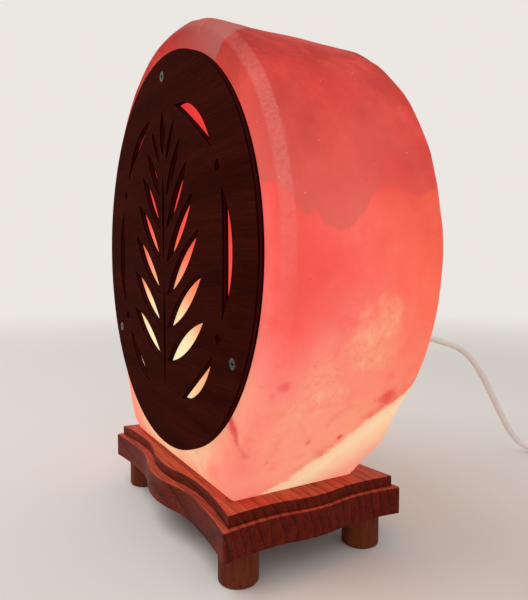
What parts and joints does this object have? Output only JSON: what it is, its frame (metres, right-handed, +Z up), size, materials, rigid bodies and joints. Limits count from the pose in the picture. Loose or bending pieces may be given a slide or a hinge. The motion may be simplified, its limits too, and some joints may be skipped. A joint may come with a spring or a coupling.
{
  "type": "salt crystal lamp",
  "caption": "Salt crystal lamp: a thick disc of glowing rock salt on a stepped wooden base with dowel feet and a fretwork panel, with its corded in-line switch and plug.",
  "frame": {"origin": "centre of the base on the table, at the level of the feet's lower faces", "axes": "+X to the right along the base board's long side, -Y to the front where the fretwork panel is, +Z up"},
  "size_m": [0.3626, 0.3439, 0.2827],
  "materials": {
    "salt": "rough, translucent rock salt",
    "board_wood": "oiled, satin",
    "foot_wood": "bare, matt",
    "panel_wood": "dark stain, matt, with charred edges",
    "screw_steel": "zinc plated",
    "wall_plug": "matt nylon",
    "holder_plastic": "satin",
    "live_metal": "bright",
    "core_insulation": "matt",
    "spring_steel": "bright",
    "bulb_glass": "clear",
    "bulb_cap": "bright",
    "bulb_insulator": "black glass",
    "filament": "glowing",
    "cord_sheath": "satin",
    "cord_bushes": "matt",
    "switch_plastic": "satin",
    "rocker_plastic": "gloss",
    "tie": "matt",
    "pin_brass": "nickel plated"
  },
  "bodies": {
    "lamp": {"salt_crystal": "salt", "base_board": "board_wood", "foot_front_left": "foot_wood", "foot_front_right": "foot_wood", "foot_rear_left": "foot_wood", "foot_rear_right": "foot_wood", "fretwork_panel": "panel_wood", "panel_screws": "screw_steel", "crystal_screws": "screw_steel", "terminal_screws": "screw_steel", "switch_screws": "screw_steel", "panel_plugs": "wall_plug", "crystal_plugs": "wall_plug", "lampholder_shell": "holder_plastic", "lampholder_cap": "holder_plastic", "lampholder_insert": "holder_plastic", "screw_shell": "live_metal", "centre_contact": "live_metal", "switch_contacts": "live_metal", "bulb_tip": "live_metal", "core_wires": "core_insulation", "spring_clip": "spring_steel", "bulb_glass": "bulb_glass", "bulb_stem": "bulb_glass", "bulb_cap": "bulb_cap", "bulb_insulator": "bulb_insulator", "bulb_filament": "filament", "cord_lead": "cord_sheath", "cord_link": "cord_sheath", "cord_coil": "cord_sheath", "cord_tail": "cord_sheath", "cord_bush": "cord_bushes", "switch_bushes": "cord_bushes", "plug_bush": "cord_bushes", "switch_base": "switch_plastic", "switch_cover": "switch_plastic", "plug_body": "switch_plastic", "coil_tie": "tie", "plug_pins": "pin_brass"},
    "rocker": {"switch_rocker": "rocker_plastic"}
  },
  "joints": [
    {"name": "switch_press", "type": "hinge", "parent": "lamp", "child": "rocker", "pos_m": [0.148, 0.185, 0.0124], "axis": [1, 0, 0], "range_deg": [-14, 0]}
  ]
}
